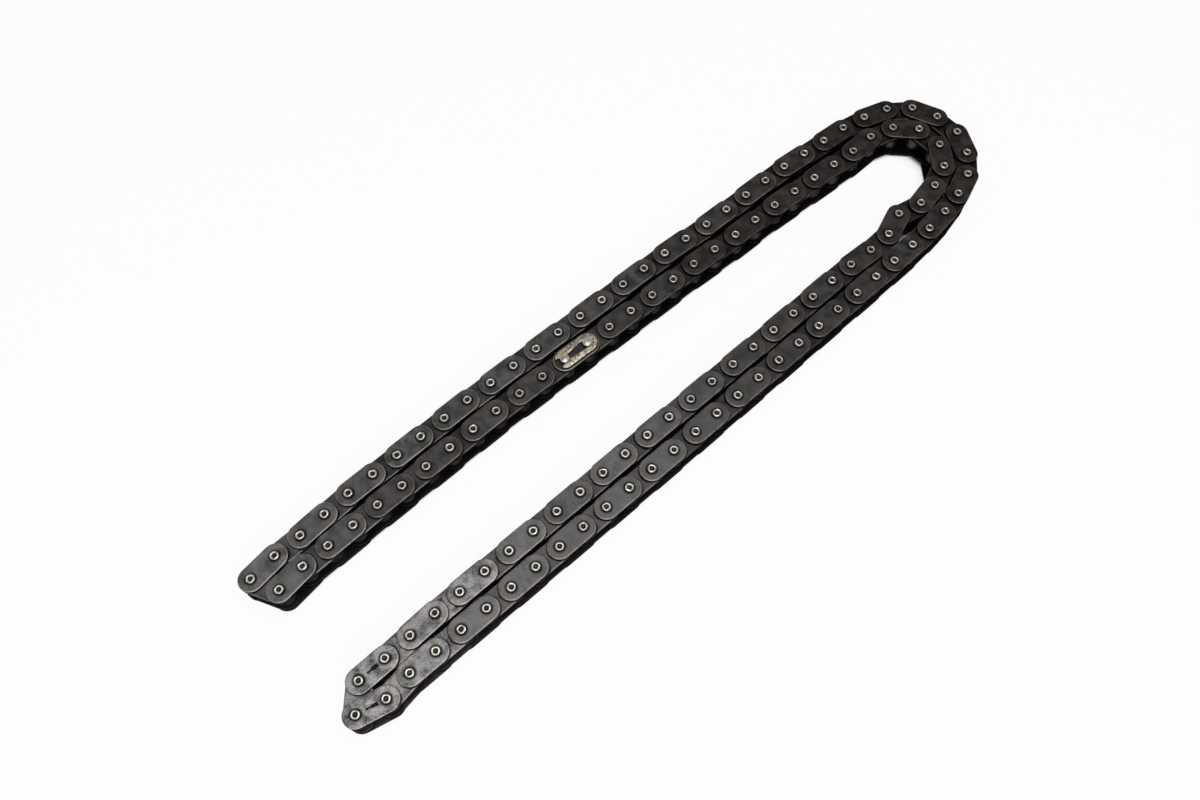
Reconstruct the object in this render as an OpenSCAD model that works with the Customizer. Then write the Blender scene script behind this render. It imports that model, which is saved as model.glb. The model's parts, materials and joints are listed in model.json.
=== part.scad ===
// Engine timing chain: an endless single-strand roller chain of 124 links.
// It lies flat on its pin ends, doubled into a hairpin and bent round into a U.
// Outer links are two plates on two riveted pins. Inner links are two plates
// pressed on two bushes, each with a free roller. One outer link is the
// connecting link: its front plate is loose and a spring clip holds it.

/* [Chain] */
// Pitch, from one pin to the next
pitch = 9.525; // [9.5:0.005:9.6]
// Diameter of the rollers
roller_d = 6.35; // [5.9:0.05:6.4]
// Width between the plates of an inner link
inner_width = 5.72; // [4.5:0.02:6.5]
// Diameter of the pins
pin_d = 3.28; // [3:0.02:3.4]
// Wall of the bushes
bush_wall = 0.68; // [0.5:0.02:0.7]

/* [Plates] */
// Height of every plate, and twice the radius of its round ends
plate_height = 8.1; // [7.6:0.05:8.2]
// Thickness of an inner plate
inner_plate_t = 1.3; // [1:0.05:1.6]
// Thickness of an outer plate
outer_plate_t = 1.04; // [0.9:0.02:1.4]
// Broken edge of the stamped plates
plate_edge = 0.12; // [0.05:0.01:0.2]

/* [Pins] */
// How far a riveted pin stands out of the outer plate
rivet_height = 0.75; // [0.4:0.05:1.2]
// Diameter of the staked dimple in a pin's end
dimple_d = 1.5; // [1.2:0.1:2]
// Depth of that dimple
dimple_depth = 0.45; // [0.2:0.05:0.6]
// Chamfer on a pin's end
pin_chamfer = 0.2; // [0.1:0.05:0.4]

/* [Connecting link] */
// Diameter of the pins' necks in the spring clip's grooves
neck_d = 2.2; // [2:0.05:2.3]
// Diameter of the domed heads above the grooves
dome_d = 3.2; // [2.8:0.05:3.25]
// Height of those heads
dome_height = 0.85; // [0.6:0.05:1.2]
// Thickness of the spring clip
clip_t = 0.7; // [0.5:0.05:0.9]
// Width of the spring clip
clip_width = 6.7; // [6.3:0.1:7]
// Width of the clip's slot where it is widest, beside the closed end
slot_width = 3; // [2.8:0.1:3.2]
// Width of the slot where it runs into the open end's seat
throat_width = 1.5; // [1.3:0.1:1.9]
// Width of the split at the mouth of the open end
mouth_width = 3.4; // [2.8:0.1:3.8]
// Reach of the clip's two jaws past the pin that they hold
jaw_reach = 2.5; // [2:0.1:2.9]

/* [Fits] */
// Radial clearance of a pin in its bush
pin_play = 0.05; // [0.03:0.01:0.08]
// Radial clearance of a roller on its bush
roller_play = 0.06; // [0.04:0.01:0.1]
// Radial gap that stands for a press fit
press_gap = 0.01; // [0.01:0.005:0.02]
// Clearance at each side of a roller between its plates
roller_side_play = 0.08; // [0.05:0.01:0.15]
// How far a bush stands out of its plate
bush_stand = 0.1; // [0.05:0.01:0.15]
// Clearance between a bush's end and the outer plate
side_play = 0.07; // [0.05:0.01:0.1]
// Clearance of the loose plate and of the clip in their seats
clip_play = 0.06; // [0.04:0.01:0.1]

/* [Hidden] */
$fn = 48;
link_count = 124;
connecting_number = 111;

// Broken edge of the bushes and rollers
tube_edge = 0.1;
// Floor of a staked dimple, as a share of the dimple's diameter
dimple_floor = 0.6;
// Straight side of a domed head, as a share of the head's height
dome_side = 0.3;
// How far past its seat the clip's slot is widest
slot_lead = 1;
// How far a hole's cutter stands out of the faces it cuts
cut = 1;

// Runs of links that swing when the two strands of an arm fold together: first
// and last link in the outer strand. Their partners in the inner strand stay
// parallel, link by link, and the numbers of two partners have the same sum.
LEFT_SWINGS = [[5, 9], [18, 22]];
RIGHT_SWINGS = [[42, 46], [55, 59]];
left_sum = link_count;
right_sum = link_count + 4;

// How the chain lies, as runs of links: how many, and their heading in degrees.
// The left arm's outer strand, from the left end up to the bend
LEFT_OUTER = [[1, 49], [1, 42.5], [2, 45.5], [5, 42], [9, 40.5], [2, 38.5], [4, 40.5], [3, 37]];
// Round the outside of the bend
OUTER_BEND = [[1, 31], [1, 23.5], [1, 3.5], [1, -25], [1, -47.5], [1, -76.5], [1, -96.5], [1, -118.5]];
// Down the right arm's outer strand to the right end
RIGHT_OUTER = [[1, -127], [1, -132], [1, -135], [2, -137.5], [10, -138], [11, -138.5], [1, -130.5], [1, -152]];
// Across the right end and back up the right arm's inner strand
RIGHT_INNER = [[1, 90], [1, 42.5], [2, 44], [9, 42], [10, 41.5], [1, 38.5], [1, 43.5]];
// Into the inside of the bend
INNER_BEND = [[1, 61.5], [1, 29], [1, 52], [1, 62.5], [1, 92]];
// From the left end up the left arm's inner strand, against its numbering
LEFT_INNER = [[1, 160], [1, -131], [8, -137], [8, -140], [9, -142], [1, -137.5], [1, -154]];

function spread(runs) = [for (run = runs) for (i = [1:run[0]]) run[1]];
UP = spread(concat(LEFT_OUTER, OUTER_BEND, RIGHT_OUTER, RIGHT_INNER, INNER_BEND));
BACK = spread(LEFT_INNER);

function within(runs, i) = len([for (run = runs) if (i >= run[0] && i <= run[1]) 1]) > 0;
function own_heading(i) = i <= len(UP) ? UP[i - 1] : BACK[link_count - i];
function heading(i) =
    within(LEFT_SWINGS, left_sum - i) ? own_heading(left_sum - i) + 180 :
    within(RIGHT_SWINGS, right_sum - i) ? own_heading(right_sum - i) + 180 :
    own_heading(i);
function along(i) = pitch * [cos(heading(i)), sin(heading(i))];

// Where each step of a walk from the first pin ends
function trail(steps) =
    [for (k = 0, p = [0, 0]; k <= len(steps); p = k < len(steps) ? p + steps[k] : p, k = k + 1) p];

// Link i joins pins i and i + 1, and the last link closes the loop on pin 1.
// One walk from pin 1 goes up the left arm and round to the elbow pin's near
// side, and one goes back through the last link to its far side.
FORWARD = trail([for (i = [1:len(UP)]) along(i)]);
BACKWARD = trail([for (i = [link_count:-1:link_count - len(BACK) + 1]) -along(i)]);

// The elbow pin closes the loop: it is one pitch from both of its neighbours.
before = FORWARD[len(UP)];
after = BACKWARD[len(BACK)];
gap = after - before;
rise = sqrt(pitch * pitch - gap * gap / 4);
elbow = (before + after) / 2 + rise * [gap.y, -gap.x] / norm(gap);
LOOP = concat(FORWARD, [elbow], [for (k = [len(BACK):-1:1]) BACKWARD[k]]);

// The origin is under the middle of the chain's box.
XS = [for (p = LOOP) p.x];
YS = [for (p = LOOP) p.y];
middle = [min(XS) + max(XS), min(YS) + max(YS)] / 2;
PINS = [for (p = LOOP) p - middle];

function wrap(i) = (i - 1) % link_count + 1;
function pin_at(i) = PINS[wrap(i) - 1];
function is_outer(i) = i % 2 == 1;

// Half widths, from the chain's middle plane out to each face
inner_face = inner_width / 2;
inner_outside = inner_face + inner_plate_t;
bush_end = inner_outside + bush_stand;
outer_face = bush_end + side_play;
outer_outside = outer_face + outer_plate_t;
pin_end = outer_outside + rivet_height;

pin_r = pin_d / 2;
plate_r = plate_height / 2;
bush_bore_r = pin_r + pin_play;
bush_r = bush_bore_r + bush_wall;
roller_bore_r = bush_r + roller_play;
neck_r = neck_d / 2;
clip_low = outer_outside + clip_play;
clip_high = clip_low + clip_t;
dome_low = clip_high + clip_play;
seat_r = neck_r + clip_play;

// The same runs in the inner strands, in the order of the link numbers
function partners(runs, sum) = [for (k = [len(runs) - 1:-1:0]) [sum - runs[k][1], sum - runs[k][0]]];
LEFT_BACK = partners(LEFT_SWINGS, left_sum);
RIGHT_BACK = partners(RIGHT_SWINGS, right_sum);

// The straight runs of links, each a node of its own: [name, first, last]. The
// connecting link stands between two runs of the left arm's inner strand.
function between(a, b) = [a[1] + 1, b[0] - 1];
function with_middle(runs) = [runs[0], between(runs[0], runs[1]), runs[1]];
function named(strand, runs) =
    [for (run = runs) [str(strand, "_links_", run[0], "_", run[1]), run[0], run[1]]];
RUNS = concat(
    named("left_outer", with_middle(LEFT_SWINGS)),
    named("right_outer", with_middle(RIGHT_SWINGS)),
    named("right_inner", with_middle(RIGHT_BACK)),
    named("left_inner", [
        LEFT_BACK[0], [LEFT_BACK[0][1] + 1, connecting_number - 1],
        [connecting_number + 1, LEFT_BACK[1][0] - 1], LEFT_BACK[1]
    ])
);

// The bends and the ends between them, whose pieces have nodes by kind
BENDS = [
    ["outer_bend", LEFT_SWINGS[1][1] + 1, RIGHT_SWINGS[0][0] - 1],
    ["inner_bend", RIGHT_BACK[1][1] + 1, LEFT_BACK[0][0] - 1]
];
ENDS = [
    ["left_end", LEFT_BACK[1][1] + 1, link_count + LEFT_SWINGS[0][0] - 1],
    ["right_end", RIGHT_SWINGS[1][1] + 1, RIGHT_BACK[0][0] - 1]
];

// Stands its children on link i: X runs from its first pin to its second, and
// Z = 0 is the chain's middle plane.
module on_link(i) {
    start = pin_at(i);
    step = pin_at(i + 1) - start;
    translate([start.x, start.y, pin_end]) rotate([0, 0, atan2(step.y, step.x)]) children();
}

// A straight-sided plate with round ends and broken edges, from z = 0 up
module plate(t, hole_r) {
    e = plate_edge;
    r = plate_r;
    edge = [[r - e, 0], [r, e], [r, t - e], [r - e, t]];
    across = [for (k = [3:-1:0]) [-edge[k].x, edge[k].y]];
    difference() {
        union() {
            for (x = [0, pitch])
                translate([x, 0, 0]) rotate_extrude() polygon(concat([[0, 0]], edge, [[0, t]]));
            rotate([90, 0, 90]) linear_extrude(pitch) polygon(concat(edge, across));
        }
        for (x = [0, pitch])
            translate([x, 0, -cut]) cylinder(r = hole_r, h = t + 2 * cut);
    }
}

// The same plate on both sides of the chain
module plate_pair(z, t, hole_r) {
    translate([0, 0, z]) plate(t, hole_r);
    translate([0, 0, -z - t]) plate(t, hole_r);
}

// The profile of a pin's staked end, from its axis out to its side, at height z
function staked(z, up) = [
    [0, z - up * dimple_depth],
    [dimple_floor * dimple_d / 2, z - up * dimple_depth],
    [dimple_d / 2, z],
    [pin_r - pin_chamfer, z],
    [pin_r, z - up * pin_chamfer]
];

module riveted_pin() {
    top = staked(pin_end, 1);
    rotate_extrude() polygon(concat(staked(-pin_end, -1), [for (k = [len(top) - 1:-1:0]) top[k]]));
}

// A tube with broken edges, centred on the middle plane
module tube(outer_r, bore_r, half) {
    e = tube_edge;
    rotate_extrude() polygon([
        [bore_r, -half], [outer_r - e, -half], [outer_r, e - half],
        [outer_r, half - e], [outer_r - e, half], [bore_r, half]
    ]);
}

module at_both_pins() {
    for (x = [0, pitch]) translate([x, 0, 0]) children();
}

module outer_plates(first, last) {
    color([0.24, 0.23, 0.23]) for (i = [first:last]) if (is_outer(i))
        on_link(i) plate_pair(outer_face, outer_plate_t, pin_r + press_gap);
}

module inner_plates(first, last) {
    color([0.2, 0.2, 0.2]) for (i = [first:last]) if (!is_outer(i))
        on_link(i) plate_pair(inner_face, inner_plate_t, bush_r + press_gap);
}

module pins(first, last) {
    color([0.72, 0.71, 0.67]) for (i = [first:last]) if (is_outer(i))
        on_link(i) at_both_pins() riveted_pin();
}

module bushes(first, last) {
    color([0.4, 0.4, 0.4]) for (i = [first:last]) if (!is_outer(i))
        on_link(i) at_both_pins() tube(bush_r, bush_bore_r, bush_end);
}

module rollers(first, last) {
    color([0.3, 0.3, 0.3]) for (i = [first:last]) if (!is_outer(i))
        on_link(i) at_both_pins() tube(roller_d / 2, roller_bore_r, inner_face - roller_side_play);
}

// Every piece of a run of links
module links(first, last) {
    outer_plates(first, last);
    inner_plates(first, last);
    pins(first, last);
    bushes(first, last);
    rollers(first, last);
}

module connecting_rear_plate() {
    color([0.22, 0.22, 0.22]) on_link(connecting_number)
        translate([0, 0, -outer_outside]) plate(outer_plate_t, pin_r + press_gap);
}

module connecting_front_plate() {
    color([0.2, 0.2, 0.2]) on_link(connecting_number)
        translate([0, 0, outer_face]) plate(outer_plate_t, pin_r + clip_play);
}

// Staked at the rear, necked for the clip and domed at the front
module connecting_pin() {
    dome_r = dome_d / 2;
    steps = 8;
    dome = [for (k = [0:steps])
        [dome_r * cos(90 * k / steps),
         dome_low + dome_height * (dome_side + (1 - dome_side) * sin(90 * k / steps))]];
    rotate_extrude() polygon(concat(
        staked(-pin_end, -1),
        [[pin_r, outer_outside], [neck_r, outer_outside], [neck_r, dome_low], [dome_r, dome_low]],
        dome
    ));
}

module connecting_pins() {
    color([0.8, 0.8, 0.78]) on_link(connecting_number) at_both_pins() connecting_pin();
}

// The clip's closed end is round the first pin, and its jaws hold the second.
module spring_clip() {
    r = clip_width / 2;
    widest = seat_r + slot_lead;
    color([0.66, 0.6, 0.48]) on_link(connecting_number) translate([0, 0, clip_low])
    linear_extrude(clip_t) difference() {
        union() {
            circle(r = r);
            translate([0, -r]) square([pitch, clip_width]);
            intersection() {
                translate([pitch, 0]) circle(r = r);
                translate([pitch, -r]) square([jaw_reach, clip_width]);
            }
        }
        circle(r = seat_r);
        polygon([
            [0, -seat_r], [widest, -slot_width / 2], [pitch - seat_r, -throat_width / 2],
            [pitch, -throat_width / 2], [pitch, throat_width / 2],
            [pitch - seat_r, throat_width / 2], [widest, slot_width / 2], [0, seat_r]
        ]);
        translate([pitch, 0]) circle(r = seat_r);
        polygon([
            [pitch, -seat_r], [pitch + r, -mouth_width / 2],
            [pitch + r, mouth_width / 2], [pitch, seat_r]
        ]);
    }
}

for (group = concat(BENDS, ENDS)) {
    name = group[0];
    outer_plates(group[1], group[2]);
    inner_plates(group[1], group[2]);
    pins(group[1], group[2]);
}
for (group = BENDS) {
    bushes(group[1], group[2]);
    rollers(group[1], group[2]);
}
for (group = ENDS)
    union() {
        bushes(group[1], group[2]);
        rollers(group[1], group[2]);
    }
for (run = RUNS)
    links(run[1], run[2]);
connecting_rear_plate();
connecting_pins();
connecting_front_plate();
spring_clip();
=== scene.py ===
import json
import math
import random

import bmesh
import bpy
import numpy as np
from mathutils import Matrix, Vector


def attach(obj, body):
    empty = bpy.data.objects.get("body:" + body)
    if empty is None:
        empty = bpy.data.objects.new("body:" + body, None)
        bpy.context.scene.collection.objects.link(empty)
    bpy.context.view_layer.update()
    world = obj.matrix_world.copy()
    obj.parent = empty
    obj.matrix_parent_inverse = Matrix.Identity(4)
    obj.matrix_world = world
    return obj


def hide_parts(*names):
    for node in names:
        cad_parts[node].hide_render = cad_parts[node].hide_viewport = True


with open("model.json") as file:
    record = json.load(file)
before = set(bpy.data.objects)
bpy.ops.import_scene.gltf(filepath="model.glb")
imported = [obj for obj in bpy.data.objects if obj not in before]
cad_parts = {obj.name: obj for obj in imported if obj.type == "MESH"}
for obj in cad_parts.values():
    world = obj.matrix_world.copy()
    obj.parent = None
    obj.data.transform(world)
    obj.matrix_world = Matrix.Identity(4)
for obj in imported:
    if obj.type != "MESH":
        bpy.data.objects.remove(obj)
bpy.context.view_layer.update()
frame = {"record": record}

# The lay of the chain. It is an endless loop of 124 links, laid flat on its pin ends, doubled
# into a hairpin and bent into a U. Each pair says how many links in turn share a heading, and
# that heading in degrees, so that every pin stands where the solids have it.
MM = 0.001
PITCH = 9.525 * MM
LINKS = 124
MIDDLE_HEIGHT = 6.12 * MM
FROM_LEFT_END = [
    (1, 49), (1, 42.5), (2, 45.5), (5, 42), (9, 40.5), (2, 38.5), (4, 40.5), (3, 37),
    (1, 31), (1, 23.5), (1, 3.5), (1, -25), (1, -47.5), (1, -76.5), (1, -96.5), (1, -118.5),
    (1, -127), (1, -132), (1, -135), (2, -137.5), (10, -138), (11, -138.5), (1, -130.5), (1, -152),
    (1, 90), (1, 42.5), (2, 44), (9, 42), (10, 41.5), (1, 38.5), (1, 43.5),
    (1, 61.5), (1, 29), (1, 52), (1, 62.5), (1, 92),
]
AGAINST_THE_NUMBERS = [
    (1, 160), (1, -131), (8, -137), (8, -140), (9, -142), (1, -137.5), (1, -154),
]
# Left and right: the outer strand's runs that swing, and what two partners' numbers add up to
SWINGING = [([(5, 9), (18, 22)], LINKS), ([(42, 46), (55, 59)], LINKS + 4)]


def spread(runs):
    return [heading for count, heading in runs for _ in range(count)]


up, back = spread(FROM_LEFT_END), spread(AGAINST_THE_NUMBERS)


def own_heading(link):
    return up[link - 1] if link <= len(up) else back[LINKS - link]


def heading(link):
    """A link of the inner strand that swings keeps parallel to its partner."""
    for runs, total in SWINGING:
        if any(first <= total - link <= last for first, last in runs):
            return own_heading(total - link) + 180
    return own_heading(link)


def step(link):
    """The way from a link's first pin to its second."""
    turn = math.radians(heading(link))
    return PITCH * Vector((math.cos(turn), math.sin(turn)))


def loop_of_pins():
    """Walks from the first pin both ways round, and closes the loop at the elbow pin."""
    forward = [Vector((0, 0))]
    for link in range(1, len(up) + 1):
        forward.append(forward[-1] + step(link))
    backward = [Vector((0, 0))]
    for link in range(LINKS, LINKS - len(back), -1):
        backward.append(backward[-1] - step(link))
    gap = backward[-1] - forward[-1]
    rise = math.sqrt(PITCH ** 2 - gap.length_squared / 4)
    elbow = (forward[-1] + backward[-1]) / 2 + rise * Vector((gap.y, -gap.x)).normalized()
    loop = forward + [elbow] + backward[:0:-1]
    low = Vector((min(p.x for p in loop), min(p.y for p in loop)))
    high = Vector((max(p.x for p in loop), max(p.y for p in loop)))
    return [p - (low + high) / 2 for p in loop]


pins = loop_of_pins()


def place_of(link, along=0.0, turned_over=False):
    """Where a link's piece stands. X runs to its second pin, and Z = 0 is the middle plane."""
    start, end = pins[link - 1], pins[link % LINKS]
    angle = math.atan2(end.y - start.y, end.x - start.x)
    place = Matrix.Translation((start.x, start.y, MIDDLE_HEIGHT)) @ Matrix.Rotation(angle, 4, "Z")
    place = place @ Matrix.Translation((along, 0, 0))
    return place @ Matrix.Rotation(math.pi, 4, "X") if turned_over else place


# Outer plates. They are stamped from strip steel with straight sides and round ends, pressed
# on the two pins and tumbled till every rim is rolled. Their faces are a mottled oxide film
# under oil, their rims are rubbed bright, and a dark ring round the pins is painted, as oil
# and as shade at each pin's foot.
CONNECTING = 111
# The links of each moving body, counted on past 124 where a run goes over the first link
RUNS = {
    "bend": [(23, 41), (87, 101)],
    "left_outer_links_18_22": [(18, 22)],
    "left_outer_links_10_17": [(10, 17)],
    "left_outer_links_5_9": [(5, 9)],
    "left_end": [(120, 128)],
    "left_inner_links_115_119": [(115, 119)],
    "connecting_link": [(111, 114)],
    "left_inner_links_107_110": [(107, 110)],
    "left_inner_links_102_106": [(102, 106)],
    "right_outer_links_42_46": [(42, 46)],
    "right_outer_links_47_54": [(47, 54)],
    "right_outer_links_55_59": [(55, 59)],
    "right_end": [(60, 68)],
    "right_inner_links_69_73": [(69, 73)],
    "right_inner_links_74_81": [(74, 81)],
    "right_inner_links_82_86": [(82, 86)],
}
MARKS = ("worn", "grime", "deep", "tone", "warmth", "stain", "bar", "along", "across")
gathered = {body: [] for body in RUNS}
body_of = {(link - 1) % LINKS + 1: body for body, runs in RUNS.items()
           for first, last in runs for link in range(first, last + 1)}


def placed(points, place):
    return np.array(points) @ np.array(place.to_3x3()).T + np.array(place.translation)


def put(link, shape, place, finish, rub_and_light=1.0, **marks):
    """Adds a shape, which is points, faces and marks per point, to the link's body.

    The marks along and across are where a point lies on its own link, in millimetres."""
    points, faces, own_marks = shape
    values = {name: np.full(len(points), marks.get(name, 0.0)) for name in MARKS}
    for name, per_point in own_marks.items():
        values[name] = np.array(per_point) * (rub_and_light if name == "worn" else 1.0)
    values["along"], values["across"] = np.array(points)[:, 0] / MM, np.array(points)[:, 1] / MM
    gathered[body_of[link]].append((placed(points, place), faces, finish, values))


def new_group(name, inputs, outputs):
    group = bpy.data.node_groups.new(name, "ShaderNodeTree")
    for label, kind, value in inputs:
        socket = group.interface.new_socket(label, in_out="INPUT", socket_type=kind)
        socket.default_value = value
    for label, kind in outputs:
        group.interface.new_socket(label, in_out="OUTPUT", socket_type=kind)
    return group


class Wires:
    """Adds nodes to one tree and joins them."""

    def __init__(self, tree):
        self.tree = tree

    def node(self, kind, settings=None, **sockets):
        node = self.tree.nodes.new(kind)
        for name, value in (settings or {}).items():
            setattr(node, name, value)
        for name, value in sockets.items():
            self.join(value, node.inputs[name.replace("_", " ")])
        return node

    def join(self, value, socket):
        if isinstance(value, bpy.types.NodeSocket):
            self.tree.links.new(value, socket)
        else:
            socket.default_value = value

    def math(self, operation, a, b=0.0, clamp=False):
        node = self.tree.nodes.new("ShaderNodeMath")
        node.operation, node.use_clamp = operation, clamp
        self.join(a, node.inputs[0])
        self.join(b, node.inputs[1])
        return node.outputs[0]

    def mix(self, factor, a, b, blend="MIX"):
        node = self.tree.nodes.new("ShaderNodeMix")
        node.data_type, node.blend_type = "RGBA", blend
        for value, socket in ((factor, node.inputs[0]), (a, node.inputs[6]), (b, node.inputs[7])):
            self.join(value, socket)
        return node.outputs[2]

    def fit(self, value, low, high, to_low=0.0, to_high=1.0):
        """Turns low to high into to_low to to_high, smoothly, and holds it there beyond."""
        node = self.node("ShaderNodeMapRange", {"interpolation_type": "SMOOTHSTEP"})
        for number, item in enumerate((value, low, high, to_low, to_high)):
            self.join(item, node.inputs[number])
        return node.outputs[0]

    def swing(self, value, low, high, reach):
        """Turns low to high into a swing of the same reach below and above nothing."""
        return self.fit(value, low, high, -reach, reach)

    def noise(self, where, scale, detail=3.0, roughness=0.55):
        return self.node("ShaderNodeTexNoise", None, Vector=where, Scale=scale, Detail=detail,
                         Roughness=roughness).outputs["Fac"]

    def mark(self, name):
        return self.node("ShaderNodeAttribute", {"attribute_name": name}).outputs["Fac"]


PITS_PER_BLOTCH = 2.6
PIT_EDGE, PIT_FLOOR = 0.16, 0.05
GRAIN_HEIGHT = 0.6


def make_mottling():
    """Blotches, fine grain and pits of a tumbled face, from the place on the piece."""
    number = "NodeSocketFloat"
    group = new_group("tumbled mottling",
                      [("Blotch Size", number, 4.0), ("Grain Size", number, 0.35)],
                      [(label, number) for label in ("Blotch", "Grain", "Pits", "Height")])
    w = Wires(group)
    given, out = w.node("NodeGroupInput"), w.node("NodeGroupOutput")
    where = w.node("ShaderNodeTexCoord").outputs["Object"]
    blotch_scale = w.math("DIVIDE", 1 / MM, given.outputs["Blotch Size"])
    grain_scale = w.math("DIVIDE", 1 / MM, given.outputs["Grain Size"])
    blotch = w.noise(where, blotch_scale, 4.0, 0.6)
    grain = w.noise(where, grain_scale, 2.0)
    cells = w.node("ShaderNodeTexVoronoi", None, Vector=where,
                   Scale=w.math("MULTIPLY", blotch_scale, PITS_PER_BLOTCH))
    pit = w.fit(cells.outputs["Distance"], PIT_EDGE, PIT_FLOOR)
    pits = w.math("MULTIPLY", pit, w.fit(blotch, 0.5, 0.62))
    height = w.math("SUBTRACT", w.math("MULTIPLY", grain, GRAIN_HEIGHT), pits)
    for name, value in (("Blotch", blotch), ("Grain", grain), ("Pits", pits), ("Height", height)):
        w.join(value, out.inputs[name])
    return group


mottling = make_mottling()
FILM_COLOURS = ("Dark Film", "Pale Film", "Warm Film", "Bare Steel", "Cool Film", "Grime and Shade")
BLOTCH_HUE, BLOTCH_SHADE, GRAIN_SHADE = 0.35, 0.24, 0.2
STAIN_CONTRAST = 2.0
DARKEST_SHADE = 0.15
RUBBED_LEAST, GRIMY_LEAST = 0.45, 0.6
PIT_GRIME = 0.75
FILM_ROUGHNESS = (0.34, 0.46)
GRIME_ROUGHNESS = 0.12


def make_film():
    """The colour and roughness of oxide film, rubbed steel, grime and painted shade on one
    surface.
    """
    colour, number = "NodeSocketColor", "NodeSocketFloat"
    group = new_group("oxide film, wear and painted shade",
                      [(label, colour, (0, 0, 0, 1)) for label in FILM_COLOURS]
                      + [("Contrast", number, 1.0), ("Blotch", number, 0.5),
                         ("Grain", number, 0.5), ("Pits", number, 0.0), ("Dirt and Shade", number, 0.0),
                         ("Hue", number, 0.0), ("Smoothness", number, 0.0)],
                      [("Color", colour), ("Roughness", number)])
    w = Wires(group)
    given, out = w.node("NodeGroupInput").outputs, w.node("NodeGroupOutput")
    film = w.mix(w.mark("tone"), given["Dark Film"], given["Pale Film"])
    hue = w.math("ADD", w.mark("warmth"), w.swing(given["Blotch"], 0.35, 0.65, BLOTCH_HUE))
    hue = w.math("ADD", hue, given["Hue"], clamp=True)
    film = w.mix(1.0, film, w.mix(hue, given["Cool Film"], given["Warm Film"]), "MULTIPLY")

    uneven = w.math("ADD", w.swing(given["Blotch"], 0.32, 0.68, BLOTCH_SHADE),
                    w.swing(given["Grain"], 0.25, 0.75, GRAIN_SHADE))
    stained = w.math("MULTIPLY", w.mark("stain"), STAIN_CONTRAST)
    uneven = w.math("MULTIPLY", uneven, w.math("ADD", given["Contrast"], stained))
    shade = w.math("MAXIMUM", w.math("ADD", uneven, 1.0), DARKEST_SHADE)
    grey = w.node("ShaderNodeCombineColor", None, Red=shade, Green=shade, Blue=shade)
    film = w.mix(1.0, film, grey.outputs[0], "MULTIPLY")

    rubbed = w.math("MULTIPLY", w.mark("worn"),
                    w.fit(given["Blotch"], 0.34, 0.58, RUBBED_LEAST, 1.0))
    grime_and_shade = w.math("MULTIPLY", w.mark("grime"),
                   w.fit(given["Grain"], 0.25, 0.6, GRIMY_LEAST, 1.0))
    grime_and_shade = w.math("MAXIMUM", grime_and_shade, w.math("MULTIPLY", given["Pits"], PIT_GRIME))
    # The painted shade of sides and recesses, and the dark band round the pins, darken towards the
    # grime colour as grime does
    grime_and_shade = w.math("MAXIMUM", w.math("MAXIMUM", grime_and_shade, given["Dirt and Shade"]), w.mark("deep"))
    surface = w.mix(grime_and_shade, w.mix(rubbed, film, given["Bare Steel"]), given["Grime and Shade"])
    w.join(surface, out.inputs["Color"])

    rough = w.math("SUBTRACT", w.fit(given["Blotch"], 0.3, 0.7, *FILM_ROUGHNESS),
                   given["Smoothness"])
    rough = w.math("ADD", rough, w.math("MULTIPLY", grime_and_shade, GRIME_ROUGHNESS))
    w.join(rough, out.inputs["Roughness"])
    return group


film_wear_and_shade = make_film()
METALLIC = 0.9
GLANCING_TINT = (0.12, 0.12, 0.12, 1)
GLOSS_LEVEL = 0.25
BUMP_STRENGTH = 0.5


def steel(name, dark, pale, bare, grime, warm=(1.13, 0.98, 0.93), cool=(0.98, 1.0, 1.02),
          contrast=1.0, blotch=4.0, grain=0.35, relief=0.02, smoothness=0.0, places=None):
    """A steel finish from the colours of the film, of rubbed steel and of grime, which also
    colours painted shade.

    The blotches, the grain and the relief are in millimetres."""
    material = bpy.data.materials.new(name)
    material.use_nodes = True
    w = Wires(material.node_tree)
    shader = material.node_tree.nodes["Principled BSDF"]
    shader.inputs["Metallic"].default_value = METALLIC
    shader.inputs["Specular Tint"].default_value = GLANCING_TINT
    shader.inputs["Specular IOR Level"].default_value = GLOSS_LEVEL
    face = w.node("ShaderNodeGroup", {"node_tree": mottling}, Blotch_Size=blotch, Grain_Size=grain)
    finish = w.node("ShaderNodeGroup", {"node_tree": film_wear_and_shade})
    for label, value in zip(FILM_COLOURS, (dark, pale, warm, bare, cool, grime)):
        finish.inputs[label].default_value = (*value, 1)
    finish.inputs["Contrast"].default_value = contrast
    finish.inputs["Smoothness"].default_value = smoothness
    for label in ("Blotch", "Grain", "Pits"):
        w.join(face.outputs[label], finish.inputs[label])
    if places:
        where = w.node("ShaderNodeGroup", {"node_tree": places}, Blotch=face.outputs["Blotch"])
        for label in ("Dirt and Shade", "Hue"):
            w.join(where.outputs[label], finish.inputs[label])
    w.join(finish.outputs["Color"], shader.inputs["Base Color"])
    w.join(finish.outputs["Roughness"], shader.inputs["Roughness"])
    bump = w.node("ShaderNodeBump", None, Strength=BUMP_STRENGTH, Distance=relief * MM,
                  Height=face.outputs["Height"])
    w.join(bump.outputs[0], shader.inputs["Normal"])
    return material


OUTER_FACE, OUTER_THICKNESS = 4.33 * MM, 1.04 * MM
PLATE_RADIUS = 4.05 * MM
PLATE_RIM = 0.26 * MM
# How far the rim has turned down, in degrees, how worn it is there and how much painted shade it
# has
RIM_TURNS = ((0, 0.35, 0.0), (30, 0.9, 0.0), (60, 0.9, 0.1), (90, 0.1, 0.9))
RUBBED_BAND = 0.3 * MM
# How much painted shade a plate's inner face, which looks at the middle plane, is given
INWARD_SHADE = 0.85
PIN_RADIUS = 1.64 * MM
HOLE_GAP = 0.01 * MM
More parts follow.
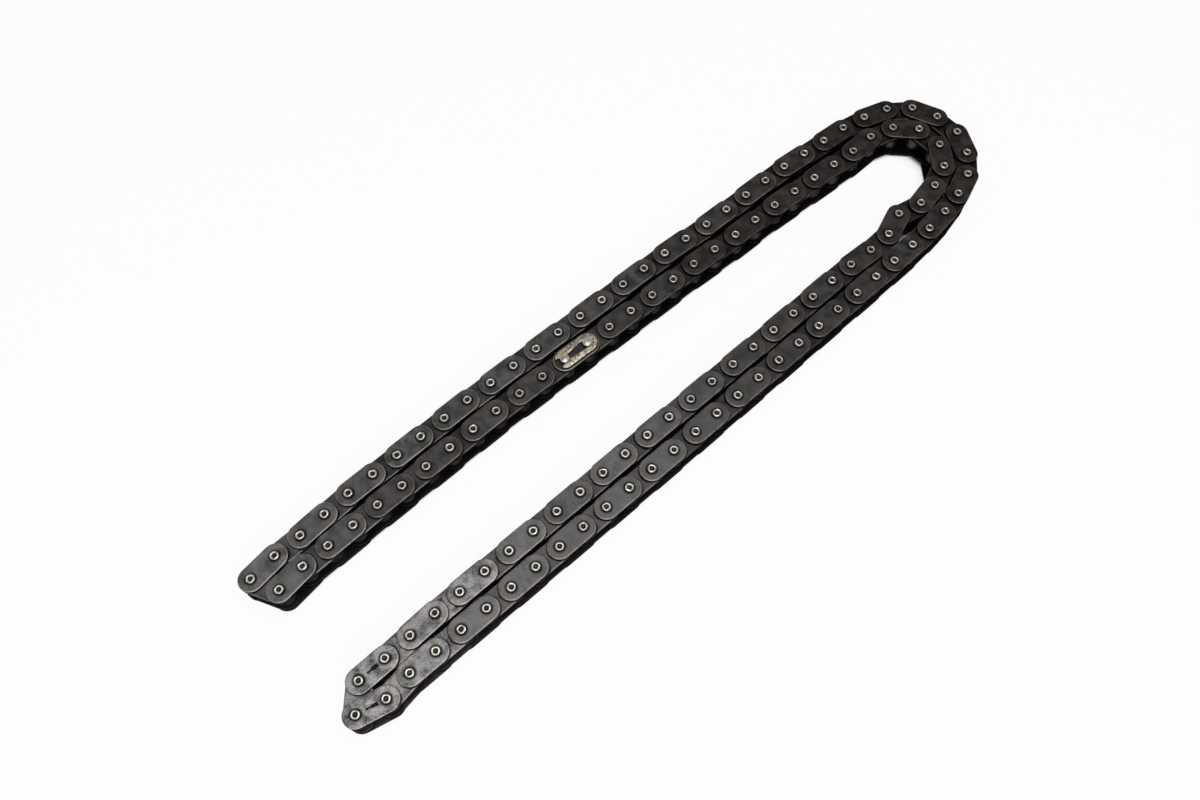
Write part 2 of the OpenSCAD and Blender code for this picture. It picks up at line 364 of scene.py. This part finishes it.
# Round each pin the face is painted dark, as oil and as the shade at the pin's foot: grime fades
# out at this ring, and a ragged band has this width and strength
DARK_RING = 2.35 * MM
DARK_RING_WIDTH, DARK_RING_STRENGTH = 0.45, 0.85
RAGGED = 0.25
HALF_TURN = 16
# The etched bar's thin and broad parts: from and to along the link, and half its width
BAR_STROKE, BAR_BLOCK = (3.0, 4.9, 0.26), (4.6, 7.1, 0.56)
BAR_END_BLUR, BAR_SIDE_BLUR = 0.2, 0.08
BAR_STRENGTH = 0.95
# The tint turns from cool to warm between these distances from the plate's middle line
TINT_FROM, TINT_TO, TINT_COOL, TINT_WARM = 1.8, 4.0, -0.3, 0.25


def make_places(name, dark_from, dark_to, strength):
    """Dirt and painted shade round the pins, the tint along the rims and the etched bar, all in
    millimetres.
    """
    group = new_group(name, [("Blotch", "NodeSocketFloat", 0.5)],
                      [("Dirt and Shade", "NodeSocketFloat"), ("Hue", "NodeSocketFloat")])
    w = Wires(group)
    given, out = w.node("NodeGroupInput").outputs, w.node("NodeGroupOutput")
    along, across = w.mark("along"), w.mark("across")
    half = PITCH / MM / 2
    past = w.math("SUBTRACT", w.math("ABSOLUTE", w.math("SUBTRACT", along, half)), half)
    aside = w.math("MULTIPLY", across, across)
    from_pin = w.math("SQRT", w.math("ADD", w.math("MULTIPLY", past, past), aside))
    beyond = w.math("MAXIMUM", past, 0.0)
    from_line = w.math("SQRT", w.math("ADD", w.math("MULTIPLY", beyond, beyond), aside))
    ragged = w.math("ADD", from_pin, w.swing(given["Blotch"], 0.3, 0.7, RAGGED))
    dark_band = w.math("MULTIPLY", w.fit(ragged, dark_to, dark_from), strength)
    bar = None
    way = w.math("ADD", w.math("MULTIPLY", w.math("SUBTRACT", along, half), w.mark("bar")), half)
    for start, stop, reach in (BAR_STROKE, BAR_BLOCK):
        part = w.math("MULTIPLY", w.fit(way, start, start + BAR_END_BLUR),
                      w.fit(way, stop, stop - BAR_END_BLUR))
        part = w.math("MULTIPLY", part,
                      w.fit(w.math("ABSOLUTE", across), reach + BAR_SIDE_BLUR, reach))
        bar = part if bar is None else w.math("MAXIMUM", bar, part)
    bar = w.math("MULTIPLY", bar, w.math("ABSOLUTE", w.mark("bar")))
    w.join(w.math("MAXIMUM", dark_band, w.math("MULTIPLY", bar, BAR_STRENGTH)), out.inputs["Dirt and Shade"])
    w.join(w.fit(from_line, TINT_FROM, TINT_TO, TINT_COOL, TINT_WARM), out.inputs["Hue"])
    return group


def plate(thickness, hole_radius, dark_ring=DARK_RING):
    """A plate from z = 0 up, between two pins, whose outline follows the round ends."""
    points, faces, worn, grime, deep = [], [], [], [], []

    def add(end, k, radius, z, is_worn, is_grimy, is_deep):
        """A point round a pin, k steps on from where the outline's half circle starts."""
        angle = math.pi * ((0.5, -0.5)[end] + k / HALF_TURN)
        points.append((PITCH * end + radius * math.cos(angle), radius * math.sin(angle), z))
        worn.append(is_worn)
        grime.append(is_grimy)
        deep.append(is_deep)
        return len(points) - 1

    def ends(radius, z, *marks):
        """Both half circles of the outline, the first pin's end first."""
        return [add(end, k, radius, z, *marks) for end in (0, 1) for k in range(HALF_TURN + 1)]

    def circles(radius, z, *marks):
        """A full circle round each pin that starts with the outline's half circle."""
        return [[add(end, k, radius, z, *marks) for k in range(2 * HALF_TURN)] for end in (0, 1)]

    def band(a, b):
        for k in range(len(a)):
            faces.append((a[k], a[(k + 1) % len(a)], b[(k + 1) % len(b)], b[k]))

    def face(rings, outline):
        """The flat between the two rings and the outline."""
        half = HALF_TURN
        for end in (0, 1):
            for k in range(half):
                o = end * (half + 1) + k
                faces.append((rings[end][k], rings[end][k + 1], outline[o + 1], outline[o]))
        faces.append((rings[0][half], rings[1][0], outline[half + 1], outline[half]))
        faces.append((rings[1][half], rings[0][0], outline[0], outline[2 * half + 1]))
        near = [rings[0][k % (2 * half)] for k in range(half, 2 * half + 1)]
        far = [rings[1][-k % (2 * half)] for k in range(half + 1)]
        for k in range(half):
            faces.append((near[k], near[k + 1], far[k + 1], far[k]))

    def side(z, up):
        """One face with its hole rings and its rolled rim, from the hole outwards."""
        first = len(faces)
        inward = 0.0 if up > 0 else INWARD_SHADE
        hole = circles(hole_radius, z, 0.0, 1.0, inward)
        dark_ring_edge = circles(dark_ring, z, 0.0, 0.0, inward)
        flat = ends(PLATE_RADIUS - PLATE_RIM - RUBBED_BAND, z, 0.0, 0.0, inward)
        for end in (0, 1):
            band(hole[end], dark_ring_edge[end])
        face(dark_ring_edge, flat)
        rim = [flat]
        for turn, is_worn, is_deep in RIM_TURNS:
            sweep = math.radians(turn)
            rim.append(ends(PLATE_RADIUS - PLATE_RIM + PLATE_RIM * math.sin(sweep),
                            z - up * PLATE_RIM * (1 - math.cos(sweep)),
                            0.0 if inward else is_worn, 0.0, max(inward, is_deep)))
        for a, b in zip(rim, rim[1:]):
            band(a, b)
        if up > 0:
            faces[first:] = [f[::-1] for f in faces[first:]]
        return hole, rim[-1]

    top_holes, top_rim = side(thickness, 1)
    low_holes, low_rim = side(0.0, -1)
    # The middle of each side is painted full shade
    waist = ends(PLATE_RADIUS, thickness / 2, 0.0, 0.0, 1.0)
    start = len(faces)
    band(top_rim, waist)
    band(waist, low_rim)
    faces[start:] = [f[::-1] for f in faces[start:]]
    for end in (0, 1):
        band(top_holes[end], low_holes[end])
    return points, faces, {"worn": worn, "grime": grime, "deep": deep}


outer_places = make_places("places on an outer plate", PIN_RADIUS / MM,
                           PIN_RADIUS / MM + DARK_RING_WIDTH, DARK_RING_STRENGTH)
outer_steel = steel("outer_plate_steel", dark=(0.033, 0.0282, 0.0278), pale=(0.203, 0.2, 0.201),
                    bare=(0.34, 0.315, 0.295), grime=(0.005, 0.0045, 0.004), contrast=0.65,
                    places=outer_places)
outer_plate = plate(OUTER_THICKNESS, PIN_RADIUS + HOLE_GAP)

chance = random.Random(7)
# How light the film is at the middle of the box, and how fast it darkens along X and Y, per metre.
# This is a painted falloff of light across the chain.
FILM_MIDDLE, PAINTED_FALLOFF_X, PAINTED_FALLOFF_Y = 0.086, 2.0, 2.4
DRY_LINKS, END_LINKS, OILED_LINKS = range(60, 70), (122, 123, 124, 1, 2, 3), range(102, 120)
FILM_SHARES = ((DRY_LINKS, 1.78), (END_LINKS, 1.3), (OILED_LINKS, 0.78))
DARKEST_FILM, FILM_RANGE = 0.036, 0.162
# The lighter its film, the brighter a link's rims and pin crowns are rubbed: this is wear from
# handling, and it carries the film's painted falloff of light as well
LIT_AND_RUBBED_FROM, LIT_AND_RUBBED_RANGE, LIT_AND_RUBBED_LEAST = 0.04, 0.08, 0.1
# Towards the bend the film turns brown, fully where X and Y add up to this many metres
BROWN_FULL, BROWN_SPREAD, BROWN_MORE = 0.2, 0.25, 0.4
WARMTH_SPREAD = 0.45
DRY_STAIN, PLAIN_STAIN = (0.65, 1.1), (0.0, 0.35)
# The two links with an etched bar, and which way round it lies
INDEX_LINKS = {63: -1.0, 65: 1.0}
look, rubbed_and_lit = {}, {}
for link in range(1, LINKS + 1):
    middle = (pins[link - 1] + pins[link % LINKS]) / 2
    # The film carries the painted falloff of light, then a random spread and its run's share
    film = FILM_MIDDLE * math.exp(-PAINTED_FALLOFF_X * middle.x - PAINTED_FALLOFF_Y * middle.y)
    film *= chance.uniform(0.85, 1.15)
    film *= next((share for links, share in FILM_SHARES if link in links), 1.0)
    rubbed_and_lit[link] = min(max((film - LIT_AND_RUBBED_FROM) / LIT_AND_RUBBED_RANGE, LIT_AND_RUBBED_LEAST), 1.0)
    near_bend = min(max((middle.x + middle.y) / BROWN_FULL, 0.0), 1.0)
    warmth = chance.uniform(0.1, 0.9) * (WARMTH_SPREAD + BROWN_SPREAD * near_bend)
    look[link] = {"tone": (film - DARKEST_FILM) / FILM_RANGE,
                  "warmth": warmth + BROWN_MORE * near_bend,
                  "stain": chance.uniform(*(DRY_STAIN if link in DRY_LINKS else PLAIN_STAIN)),
                  "bar": INDEX_LINKS.get(link, 0.0)}


def is_outer(link):
    return link % 2 == 1


def plate_place(link, face, turned_over=False):
    return place_of(link, 0.0, turned_over) @ Matrix.Translation((0, 0, face))


def put_both_plates(link, shape, face, finish, marks):
    """The front and the rear plate of a link. Only the front one can have the etched bar."""
    for over in (False, True):
        bar = 0.0 if over else marks["bar"]
        put(link, shape, plate_place(link, face, over), finish, rubbed_and_lit[link],
            **{**marks, "bar": bar})


for link in range(1, LINKS + 1):
    if is_outer(link) and link != CONNECTING:
        put_both_plates(link, outer_plate, OUTER_FACE, outer_steel, look[link])

# Inner plates. They have the same outline in thicker strip, are pressed on the bushes, and
# show only as dark lobes between two outer plates.
INNER_FACE, INNER_THICKNESS = 2.86 * MM, 1.3 * MM
BUSH_RADIUS = 2.37 * MM
INNER_DARK_RING = 3.1 * MM
# Along the outer plates' ends an inner plate is painted dark over this width and strength, as
# grime and as painted shade under their edges
CORNER_SHADE_WIDTH, CORNER_SHADE_STRENGTH = 0.55, 0.8
# An inner plate's film is painted darker than an outer one's, as painted shade between the outer
# plates, and in the dry run lighter
DRY_INNER_TONE, INNER_SHADED_TONE = 1.2, 0.65
inner_places = make_places("places on an inner plate", PLATE_RADIUS / MM,
                           PLATE_RADIUS / MM + CORNER_SHADE_WIDTH, CORNER_SHADE_STRENGTH)
inner_steel = steel("inner_plate_steel", dark=(0.0195, 0.0173, 0.0173), pale=(0.19, 0.185, 0.182),
                    bare=(0.28, 0.265, 0.25), grime=(0.005, 0.0045, 0.004), contrast=0.65,
                    places=inner_places)
inner_plate = plate(INNER_THICKNESS, BUSH_RADIUS + HOLE_GAP, INNER_DARK_RING)
for link in range(1, LINKS + 1):
    if not is_outer(link):
        tone = look[link]["tone"] * (DRY_INNER_TONE if link in DRY_LINKS else INNER_SHADED_TONE)
        put_both_plates(link, inner_plate, INNER_FACE, inner_steel, {**look[link], "tone": tone})

# Riveted pins. Each is a hardened pin through a bush, pressed in the outer plates, and its
# two ends are staked: a punch leaves a dimple inside a bright, slightly uneven crown.
PIN_END = MIDDLE_HEIGHT
CROWN_RADIUS, CROWN_ROUND = 1.07 * MM, 0.36 * MM
# Radius and height from the pin's end in millimetres, then how worn and grimy it is, and its
# painted shade
DIMPLE = ((0.0, -0.5, 0.0, 0.9, 0.4), (0.36, -0.49, 0.0, 1.0, 0.8), (0.56, -0.42, 0.0, 1.0, 1.0),
          (0.7, -0.3, 0.0, 1.0, 0.9))
CREASE = ((1.52, -0.38, 0.0, 1.0, 0.8), (1.6, -0.5, 0.0, 1.0, 0.9), (1.64, -0.62, 0.0, 1.0, 1.0),
          (1.64, -0.76, 0.0, 1.0, 1.0))
# How far the crown has turned over, in degrees, and how worn and grimy it is there
CROWN_TURNS = ((-66, 0.2, 0.7), (-48, 0.7, 0.1), (-28, 1.0, 0.0), (-8, 1.0, 0.0),
               (14, 1.0, 0.0), (34, 0.9, 0.0), (54, 0.5, 0.25), (72, 0.2, 0.8))
# A painted highlight: a crown's rubbed steel is painted brightest on two opposite sides, which
# face the same way in the world on every pin
HIGHLIGHT_MEAN, HIGHLIGHT_SWING = 0.7, 0.3
HIGHLIGHT_SIDE = math.radians(25)
# Where a link is least lit and rubbed its pin crowns keep this share of their brightness
DIMMEST_CROWN = 0.45


def turned(profile, corners=24, lobes=0, uneven=0.0, phase=0.0, seam=0.0, highlight_angle=None):
    """Turns (radius, z, worn, grime, painted shade) rows round Z. Rows of no radius close the
    ends.

    A staked crown gets a painted highlight: its rubbed steel is brightest on two opposite sides,
    along the angle given for it."""
    points, faces, marks, rings = [], [], [], []
    for radius, z, *mark in profile:
        if radius == 0:
            rings.append([len(points)])
            points.append((0.0, 0.0, z))
            marks.append(mark)
            continue
        rings.append(range(len(points), len(points) + corners))
        for k in range(corners):
            angle = 2 * math.pi * k / corners
            swell = mark[0] * (math.cos(lobes * angle + phase) + 0.5 * math.cos(angle + 2 * phase))
            r = radius + uneven * swell - (seam if k == 0 else 0.0)
            points.append((r * math.cos(angle), r * math.sin(angle), z))
            highlight = 1.0
            if highlight_angle is not None:
                highlight = HIGHLIGHT_MEAN + HIGHLIGHT_SWING * math.cos(2 * (angle - highlight_angle))
            marks.append([mark[0] * highlight, *mark[1:]])
    for a, b in zip(rings, rings[1:]):
        for k in range(corners):
            corner = [a[k % len(a)], a[(k + 1) % len(a)], b[(k + 1) % len(b)], b[k % len(b)]]
            faces.append(tuple(dict.fromkeys(corner)))
    worn, grime, deep = zip(*marks)
    return points, faces, {"worn": worn, "grime": grime, "deep": deep}


def staked_end(up):
    """The rows of one staked end, from its axis out to its side."""
    def in_metres(rows):
        return [(r * MM, z * MM, *mark) for r, z, *mark in rows]

    crown = [(CROWN_RADIUS + CROWN_ROUND * math.sin(math.radians(turn)),
              CROWN_ROUND * (math.cos(math.radians(turn)) - 1), worn, grime_and_shade, 0.0)
             for turn, worn, grime_and_shade in CROWN_TURNS]
    rows = in_metres(DIMPLE) + crown + in_metres(CREASE)
    return [(r, up * (PIN_END + z), *mark) for r, z, *mark in rows]


pin_steel = steel("pin_steel", dark=(0.14, 0.125, 0.105), pale=(0.3, 0.28, 0.24),
                  bare=(0.95, 0.92, 0.84), grime=(0.018, 0.015, 0.012), warm=(1.06, 1.0, 0.93),
                  cool=(1.0, 1.0, 1.0), blotch=1.2, grain=0.2, relief=0.01, smoothness=0.1)
for link in range(1, LINKS + 1):
    if is_outer(link) and link != CONNECTING:
        # The painted highlight's sides face the same way in the world on every pin
        highlight_side = HIGHLIGHT_SIDE - place_of(link).to_euler().z
        for along in (0.0, PITCH):
            shape = turned(staked_end(-1) + staked_end(1)[::-1], lobes=chance.choice((4, 4, 3)),
                           uneven=chance.uniform(0.05, 0.12) * MM, phase=chance.uniform(0, 6.28),
                           highlight_angle=highlight_side + chance.uniform(-0.5, 0.5))
            put(link, shape, place_of(link, along), pin_steel,
                DIMMEST_CROWN + (1 - DIMMEST_CROWN) * rubbed_and_lit[link],
                tone=chance.uniform(0.0, 1.0), warmth=chance.uniform(0.2, 1.0))

# Bushes and rollers. A bush is a hardened tube pressed in both inner plates, and a roller
# curled from strip turns freely on it, with its seam along one side. Sprocket teeth keep
# the middle of each roller polished.
BUSH_BORE, BUSH_END, BUSH_RIM = 1.69 * MM, 4.26 * MM, 0.12 * MM
ROLLER_RADIUS, ROLLER_BORE, ROLLER_END = 3.175 * MM, 2.43 * MM, 2.78 * MM
ROLLER_RIM = 0.18 * MM
SEAM_DEPTH = 0.07 * MM
POLISHED = 0.35


def tube(outside, bore, end, rim, seam=0.0, polished=0.0):
    """A tube with rounded ends, and how much the middle of its outside is polished."""
    # Each row is radius, z, worn, grime and painted shade: the ends, which meet the plates, are
    # grimy and painted shade
    rows = [(bore, -end, 0, 0.6, 0.3), (outside - rim, -end, 0.2, 0.4, 0.2),
            (outside - rim * 0.3, -end + rim * 0.3, 0.6, 0, 0),
            (outside, -end + rim, 0.3, 0.5, 0.1), (outside, -end * 0.6, polished, 0.2, 0.0),
            (outside, 0, polished, 0.0, 0)]
    rows += [(r, -z, *mark) for r, z, *mark in rows[-2::-1]]
    rows.append(rows[0])
    return turned(rows, seam=seam)


roller_steel = steel("roller_steel", dark=(0.014, 0.013, 0.012), pale=(0.04, 0.039, 0.036),
                     bare=(0.17, 0.165, 0.15), grime=(0.005, 0.0045, 0.004), blotch=2.5,
                     grain=0.25)
bush = tube(BUSH_RADIUS, BUSH_BORE, BUSH_END, BUSH_RIM)
roller = tube(ROLLER_RADIUS, ROLLER_BORE, ROLLER_END, ROLLER_RIM, SEAM_DEPTH, POLISHED)
for link in range(1, LINKS + 1):
    if not is_outer(link):
        for along in (0.0, PITCH):
            spin = Matrix.Rotation(chance.uniform(0, 2 * math.pi), 4, "Z")
            put(link, bush, place_of(link, along), roller_steel, tone=0.3)
            put(link, roller, place_of(link, along) @ spin, roller_steel,
                tone=chance.uniform(0.1, 0.8), warmth=chance.uniform(0, 1))

# The connecting link. Its rear plate carries two pins that are staked behind, necked and
# domed in front. The front plate slides on loose, and the spring clip keeps it there.
LOOSE_FIT = 0.06 * MM
PLATE_TOP = 5.37 * MM
NECK_RADIUS, DOME_RADIUS = 1.1 * MM, 1.6 * MM
DOME_LOW, DOME_HEIGHT = 6.19 * MM, 0.85 * MM
DOME_TOP = DOME_LOW + DOME_HEIGHT
DOME_SIDE = 0.3
DOME_WORN = 0.7
put(CONNECTING, outer_plate, plate_place(CONNECTING, OUTER_FACE, True), outer_steel,
    rubbed_and_lit[CONNECTING], **look[CONNECTING])
put(CONNECTING, plate(OUTER_THICKNESS, PIN_RADIUS + LOOSE_FIT),
    plate_place(CONNECTING, OUTER_FACE), outer_steel, tone=0.1, warmth=0.0)
dome_steel = steel("dome_steel", dark=(0.2, 0.185, 0.165), pale=(0.35, 0.335, 0.305),
                   bare=(0.62, 0.6, 0.56), grime=(0.018, 0.015, 0.012), warm=(1.04, 1.0, 0.95),
                   cool=(1.0, 1.0, 1.0), blotch=1.2, grain=0.2, relief=0.01)
# The neck under the dome is grimy and painted shade
neck = [(PIN_RADIUS, PLATE_TOP, 0, 0.8, 0.4), (NECK_RADIUS, PLATE_TOP, 0, 1, 0.8),
        (NECK_RADIUS, DOME_LOW, 0, 1, 0.8), (DOME_RADIUS, DOME_LOW, 0, 0.8, 0.5)]
# The dome is rubbed bright above and dark round its foot, with grime and painted shade
dome = [(DOME_RADIUS * math.cos(math.radians(a)),
         DOME_LOW + DOME_HEIGHT * (DOME_SIDE + (1 - DOME_SIDE) * math.sin(math.radians(a))),
         min(a / 30, DOME_WORN), max(0.8 - a / 25, 0.0), 0.0) for a in range(0, 90, 10)]
connecting_pin = turned(staked_end(-1) + neck + dome + [(0.0, DOME_TOP, DOME_WORN, 0.0, 0.0)],
                        corners=32)
for along in (0.0, PITCH):
    put(CONNECTING, connecting_pin, place_of(CONNECTING, along), dome_steel, tone=0.5, warmth=0.7)

# The runs of links. On the real chain the plates, pins, bushes and rollers of a run are
# pressed or threaded together, so each gathered body becomes one mesh. Its faces shade
# smooth up to the edges that a tool cut sharp, and the marks go with their points.
SHARP = math.radians(35)


def piece(name, body, parts, nodes):
    mesh = bpy.data.meshes.new(name)
    points = np.concatenate([part[0] for part in parts])
    faces, finishes, numbers, start = [], [], [], 0
    for flat, part_faces, finish, _ in parts:
        if finish not in finishes:
            finishes.append(finish)
        faces += [tuple(i + start for i in corners) for corners in part_faces]
        numbers += [finishes.index(finish)] * len(part_faces)
        start += len(flat)
    mesh.from_pydata(points.tolist(), [], faces)
    for finish in finishes:
        mesh.materials.append(finish)
    mesh.polygons.foreach_set("material_index", numbers)
    for mark in MARKS:
        layer = mesh.attributes.new(mark, "FLOAT", "POINT")
        layer.data.foreach_set("value", np.concatenate([part[3][mark] for part in parts]))
    mesh.shade_smooth()
    mesh.set_sharp_from_angle(angle=SHARP)
    mesh.validate()
    made = bpy.data.objects.new(name, mesh)
    bpy.context.collection.objects.link(made)
    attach(made, body)
    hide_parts(*nodes)


nodes_of = frame["record"]["behaviour"]["bodies"]
for body, parts in gathered.items():
    piece("chain_" + body, body, parts, nodes_of[body])

# The spring clip. It is punched from thin spring steel: the closed end goes round one pin's
# neck, a tapered slot runs along it, and two jaws snap past the other neck.
CLIP_LOW, CLIP_THICKNESS, CLIP_RIM = 5.43 * MM, 0.7 * MM, 0.1 * MM
CLIP_RADIUS, JAW_REACH = 3.35 * MM, 2.5 * MM
SEAT_RADIUS = 1.16 * MM
SLOT_LEAD, SLOT_HALF, THROAT_HALF, MOUTH_HALF = 1.0 * MM, 1.5 * MM, 0.75 * MM, 1.7 * MM
CLIP_TONE, CLIP_WARMTH, CLIP_RIM_SHADE = 0.5, 0.5, 0.7


def arc(x, radius, start, stop, steps):
    angles = [math.radians(start + (stop - start) * k / steps) for k in range(steps + 1)]
    return [(x + radius * math.cos(angle), radius * math.sin(angle)) for angle in angles]


def mirrored(line):
    return [(x, -y) for x, y in reversed(line)]


def clip_outline():
    """One closed line: outside, a jaw, the far seat, the slot, the closed end's seat and back."""
    jaw_turn = math.degrees(math.acos(JAW_REACH / CLIP_RADIUS))
    jaw = arc(PITCH, CLIP_RADIUS, -90, -jaw_turn, 12)
    mouth = MOUTH_HALF + (SEAT_RADIUS - MOUTH_HALF) * (1 - JAW_REACH / CLIP_RADIUS)
    throat = math.degrees(math.asin(THROAT_HALF / SEAT_RADIUS))
    lower = [(PITCH + JAW_REACH, -mouth)] + arc(PITCH, SEAT_RADIUS, -90, -180 + throat, 8)
    lower += [(SEAT_RADIUS + SLOT_LEAD, -SLOT_HALF)] + arc(0, SEAT_RADIUS, -90, -180, 8)
    return (arc(0, CLIP_RADIUS, 90, 270, 32) + jaw + lower + mirrored(lower)[1:]
            + mirrored(jaw))


clip_steel = steel("clip_steel", dark=(0.3, 0.27, 0.22), pale=(0.52, 0.475, 0.395),
                   bare=(0.6, 0.55, 0.46), grime=(0.02, 0.018, 0.015), warm=(1.05, 1.0, 0.9),
                   cool=(1.0, 1.0, 1.0), contrast=2.6, blotch=1.1, grain=0.3, relief=0.04)
shell = bmesh.new()
outline = [shell.verts.new((x, y, 0)) for x, y in clip_outline()]
raised = bmesh.ops.extrude_face_region(shell, geom=[shell.faces.new(outline)])
bmesh.ops.translate(shell, vec=(0, 0, CLIP_THICKNESS),
                    verts=[v for v in raised["geom"] if isinstance(v, bmesh.types.BMVert)])
bmesh.ops.recalc_face_normals(shell, faces=shell.faces)
rims = [e for e in shell.edges if abs(e.verts[0].co.z - e.verts[1].co.z) < CLIP_RIM]
bmesh.ops.bevel(shell, geom=rims, offset=CLIP_RIM, segments=3, profile=0.5, affect="EDGES",
                clamp_overlap=True)
shell.verts.index_update()
points = [tuple(v.co) for v in shell.verts]
faces = [tuple(v.index for v in f.verts) for f in shell.faces]
shell.free()
# The clip's rim sides are grimy and painted shade, which gives the clip a dark outline
on_rim = np.array([1.0 if CLIP_RIM * 0.1 <= z <= CLIP_THICKNESS - CLIP_RIM * 0.1 else 0.0
                   for _, _, z in points])
clip_marks = {name: np.zeros(len(points)) for name in MARKS}
clip_marks.update(grime=on_rim, deep=CLIP_RIM_SHADE * on_rim,
                  tone=np.full(len(points), CLIP_TONE),
                  warmth=np.full(len(points), CLIP_WARMTH))
clip_points = placed(points, place_of(CONNECTING) @ Matrix.Translation((0, 0, CLIP_LOW)))
piece("clip", "spring_clip", [(clip_points, faces, clip_steel, clip_marks)],
      nodes_of["spring_clip"])

# The studio. White paper lies under the chain and keeps its soft shadow, and a wall stands
# all round. Camera, gloss and glass see both as white, and to all other rays the wall is as
# grey as the world. One softbox hangs over the near end, and one stands in front.
STUDIO_RADIUS, WALL_HEIGHT = 6.0, 4.0
STUDIO_CORNERS = 72
PAPER = 0.94
PAPER_SEEN, WALL_SEEN = 0.92, 0.97
# This near to the chain, and where it shuts out the sky so far, the paper shows its shadow
CREVICE, CREVICE_SHUT, CREVICE_OPEN = 14 * MM, 0.24, 0.48
WORLD_GREY = 0.2


def seen_as_white(w):
    """1 where the camera, gloss or glass looks at a surface, and 0 where it only lights."""
    rays = w.node("ShaderNodeLightPath").outputs
    shiny = w.math("MAXIMUM", rays["Is Glossy Ray"], rays["Is Transmission Ray"])
    return w.math("MAXIMUM", rays["Is Camera Ray"], shiny)


def studio_piece(name, rows):
    """A round piece of the studio with an empty material, and the wires of that material."""
    points, faces, _ = turned([(radius, z, 0, 0, 0) for radius, z in rows], STUDIO_CORNERS)
    mesh = bpy.data.meshes.new(name)
    mesh.from_pydata(points, [], faces)
    made = bpy.data.objects.new(name, mesh)
    bpy.context.collection.objects.link(made)
    material = bpy.data.materials.new(name + "_white")
    material.use_nodes = True
    material.node_tree.nodes.remove(material.node_tree.nodes["Principled BSDF"])
    mesh.materials.append(material)
    return material, Wires(material.node_tree)


paper, w = studio_piece("floor", [(0.0, 0.0), (STUDIO_RADIUS, 0.0)])
matt = w.node("ShaderNodeBsdfDiffuse", None, Color=(PAPER, PAPER, PAPER, 1))
white = w.node("ShaderNodeEmission", None, Color=(1, 1, 1, 1), Strength=1.0)
near_chain = w.node("ShaderNodeAmbientOcclusion", None, Distance=CREVICE)
open_floor = w.fit(near_chain.outputs["AO"], CREVICE_SHUT, CREVICE_OPEN)
both = w.node("ShaderNodeMixShader")
seen = w.math("MULTIPLY", seen_as_white(w), PAPER_SEEN)
w.join(w.math("MULTIPLY", seen, open_floor), both.inputs[0])
w.join(matt.outputs[0], both.inputs[1])
w.join(white.outputs[0], both.inputs[2])
w.join(both.outputs[0], paper.node_tree.nodes["Material Output"].inputs["Surface"])

wall, w = studio_piece("wall", [(STUDIO_RADIUS, 0.0), (STUDIO_RADIUS, WALL_HEIGHT)])
glow = w.node("ShaderNodeEmission", None, Color=(1, 1, 1, 1),
              Strength=w.fit(seen_as_white(w), 0.0, 1.0, WORLD_GREY, WALL_SEEN))
w.join(glow.outputs[0], wall.node_tree.nodes["Material Output"].inputs["Surface"])
# Like the world, the wall lights by the rays that reach it and isn't sampled as a lamp
wall.cycles.emission_sampling = "NONE"

world = bpy.data.worlds.new("studio")
bpy.context.scene.world = world
world.use_nodes = True
background = world.node_tree.nodes["Background"]
background.inputs["Color"].default_value = (WORLD_GREY, WORLD_GREY, WORLD_GREY, 1)


def softbox(name, spot, width, depth, power):
    """A lamp that points at the middle of the chain."""
    lamp = bpy.data.lights.new(name, "AREA")
    lamp.shape, lamp.size, lamp.size_y, lamp.energy = "RECTANGLE", width, depth, power
    stand = bpy.data.objects.new(name, lamp)
    stand.location = spot
    way = Vector((0, 0, 0)) - Vector(spot)
    stand.rotation_euler = way.to_track_quat("-Z", "Y").to_euler()
    bpy.context.collection.objects.link(stand)


softbox("overhead_softbox", spot=(0.08, -0.06, 1.0), width=0.7, depth=0.6, power=4.6)
softbox("front_softbox", spot=(0.0, -0.85, 1.0), width=1.4, depth=0.45, power=7.5)

# The camera. It stands where the photograph was taken from, in front of the chain and well
# above it, and its place, tilt and lens are fitted to the pins.
CAMERA_SPOT = (-0.0139, -0.152806, 0.324244)
CAMERA_TILT = 65.463
LENS, SENSOR = 31.89, 36
camera = bpy.data.objects.new("camera", bpy.data.cameras.new("camera"))
camera.data.lens, camera.data.sensor_width = LENS, SENSOR
camera.data.clip_start = 0.01
camera.location = CAMERA_SPOT
camera.rotation_euler = (math.radians(90 - CAMERA_TILT), 0, 0)
bpy.context.collection.objects.link(camera)
bpy.context.scene.camera = camera
bpy.context.scene.view_settings.view_transform = "Standard"
